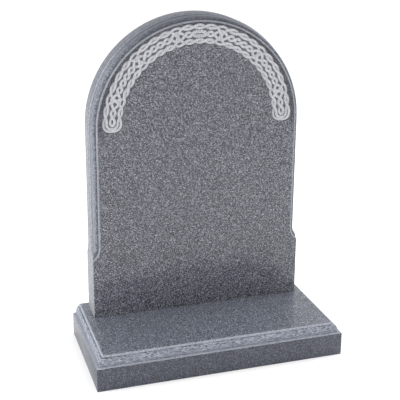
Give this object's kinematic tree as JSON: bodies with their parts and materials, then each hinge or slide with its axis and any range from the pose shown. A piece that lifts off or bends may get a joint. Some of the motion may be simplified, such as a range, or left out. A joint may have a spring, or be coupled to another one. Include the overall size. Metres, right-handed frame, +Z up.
{
  "type": "headstone",
  "caption": "Arched granite headstone with a moulded front edge and a carved knotwork band, standing on a moulded granite base.",
  "frame": {"origin": "middle of the base's underside", "axes": "+X across the front to the viewer's right, +Y back, +Z up; the front faces -Y"},
  "size_m": [0.61, 0.3, 0.818],
  "materials": {
    "tablet_granite": "polished grey granite, with the knotwork left matt and pale",
    "base_granite": "polished grey granite"
  },
  "bodies": {
    "root": {"headstone": "tablet_granite", "base": "base_granite"}
  },
  "joints": []
}
